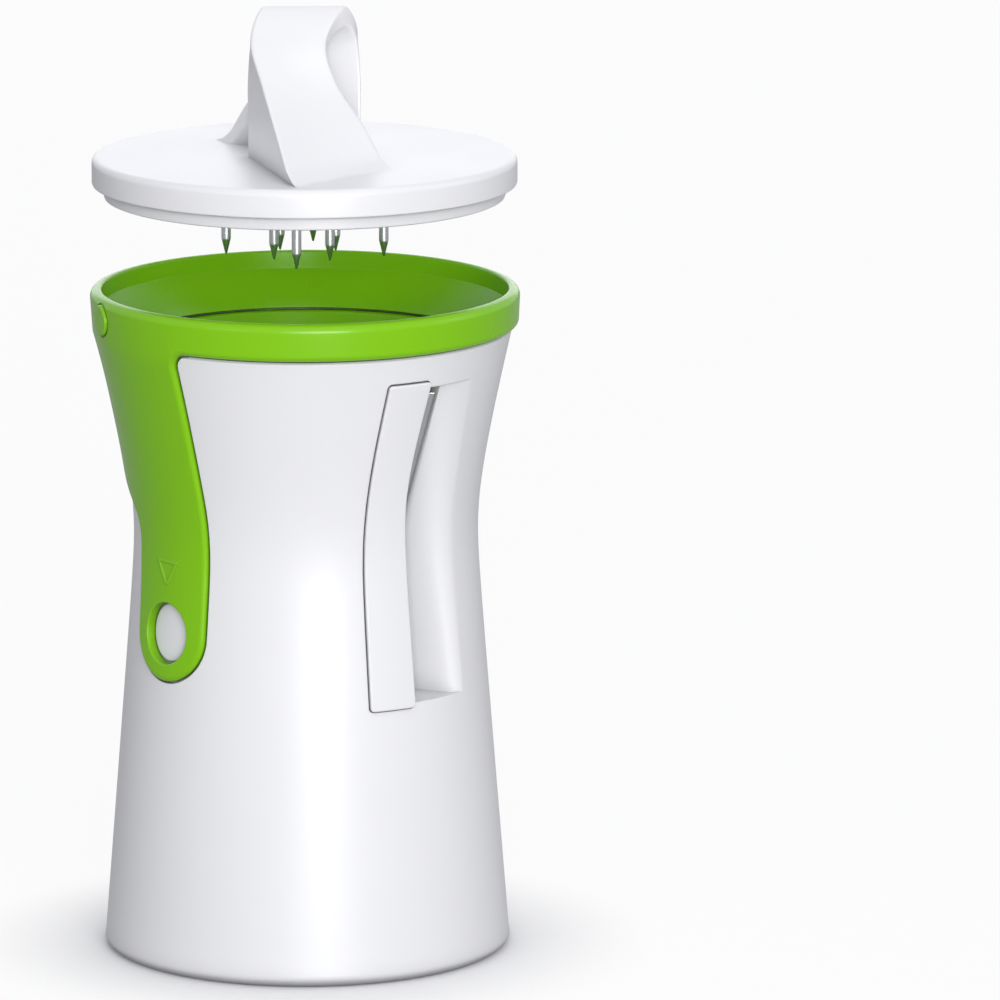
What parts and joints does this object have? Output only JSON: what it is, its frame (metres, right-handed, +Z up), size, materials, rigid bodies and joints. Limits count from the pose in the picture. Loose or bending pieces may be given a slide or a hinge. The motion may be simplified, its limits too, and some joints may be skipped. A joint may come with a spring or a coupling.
{
  "type": "hand spiralizer",
  "caption": "Hand-held vegetable spiralizer: hourglass housing with blade windows, clip-on collar with spring arms, cutting cone, and a lifted press-and-turn cap with twisted handle.",
  "frame": {"origin": "centre of the base's underside, on the axis of the cone and cap", "axes": "+Z up along the axis, -Y out of the window seen in the picture, +X towards the arm hidden in the picture"},
  "size_m": [0.098, 0.098, 0.2172],
  "materials": {
    "white_plastic": "satin gloss, moulded",
    "green_plastic": "satin gloss, moulded",
    "blade_steel": "bright stainless",
    "screw_steel": "zinc plated"
  },
  "bodies": {
    "housing": {"outer_body": "white_plastic", "collar": "green_plastic", "funnel": "green_plastic", "front_blade": "blade_steel", "front_comb": "blade_steel", "front_guard": "white_plastic", "rear_blade": "blade_steel", "rear_comb": "blade_steel", "rear_guard": "white_plastic"},
    "press_ring": {"cap_guide_ring": "white_plastic"},
    "press_cap": {"cap": "white_plastic", "prong_plate": "white_plastic", "prong_1": "blade_steel", "prong_2": "blade_steel", "prong_3": "blade_steel", "prong_4": "blade_steel", "prong_5": "blade_steel", "prong_6": "blade_steel", "prong_7": "blade_steel", "prong_8": "blade_steel", "plate_screw_1": "screw_steel", "plate_screw_2": "screw_steel", "plate_screw_3": "screw_steel"}
  },
  "joints": [
    {"name": "cap_press", "type": "slide", "parent": "housing", "child": "press_ring", "axis": [0, 0, 1], "range_m": [-0.0236, 0.06]},
    {"name": "cap_turn", "type": "hinge", "parent": "press_ring", "child": "press_cap", "pos_m": [0, 0, 0.1832], "axis": [0, 0, 1], "continuous": true}
  ]
}
